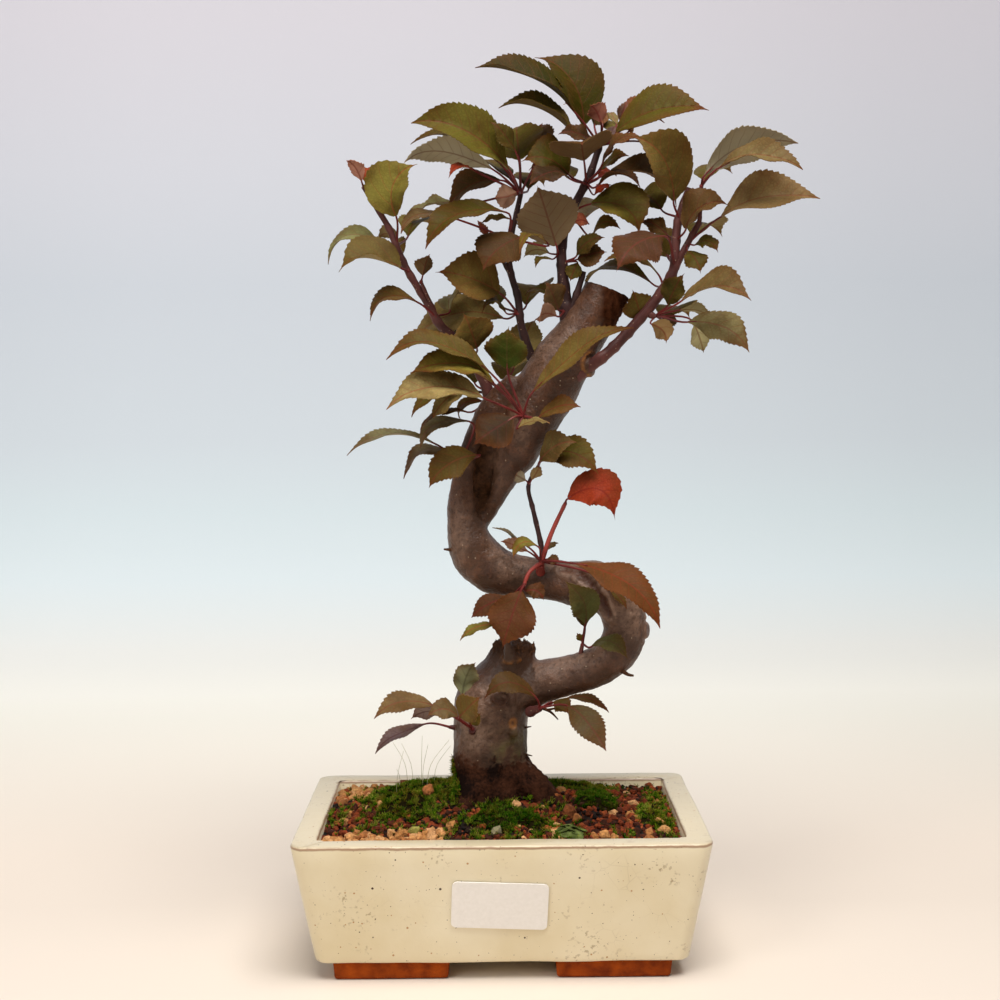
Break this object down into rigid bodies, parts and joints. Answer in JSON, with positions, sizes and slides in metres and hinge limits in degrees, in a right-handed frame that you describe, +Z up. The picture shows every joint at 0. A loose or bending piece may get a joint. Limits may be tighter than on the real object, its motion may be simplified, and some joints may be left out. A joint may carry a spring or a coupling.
{
  "type": "potted apple bonsai",
  "caption": "Small fruit tree grown as a bonsai: a bent, knotted trunk with leafy shoots in a rectangular glazed tray pot on four feet, with soil and moss.",
  "frame": {"origin": "middle of the whole plant's and pot's footprint, on the surface that the feet stand on", "axes": "+Z up, -Y towards the pot's labelled long face, +X to the right when that face is seen"},
  "size_m": [0.2178, 0.1146, 0.3852],
  "materials": {
    "glaze": "gloss",
    "label": "matte",
    "drain_mesh": "matte",
    "soil": "matte",
    "moss": "matte",
    "bark": "matte",
    "foliage": "matte"
  },
  "bodies": {
    "root": {"pot": "glaze", "blank_label": "label", "drain_mesh_left": "drain_mesh", "drain_mesh_right": "drain_mesh", "soil": "soil", "moss_left": "moss", "moss_front": "moss", "moss_right": "moss", "moss_right_rim": "moss", "moss_back": "moss", "moss_back_left": "moss", "trunk": "bark", "leader_shoot": "foliage", "mid_left_shoot": "foliage", "left_branch_shoot": "foliage", "right_branch_shoot": "foliage", "middle_shoot": "foliage", "stub_shoot": "foliage", "left_cleft_shoot": "foliage", "loop_top_shoot": "foliage", "loop_sprig": "foliage", "lower_left_shoot": "foliage", "left_side_leaf": "foliage", "lower_right_shoot": "foliage"}
  },
  "joints": []
}
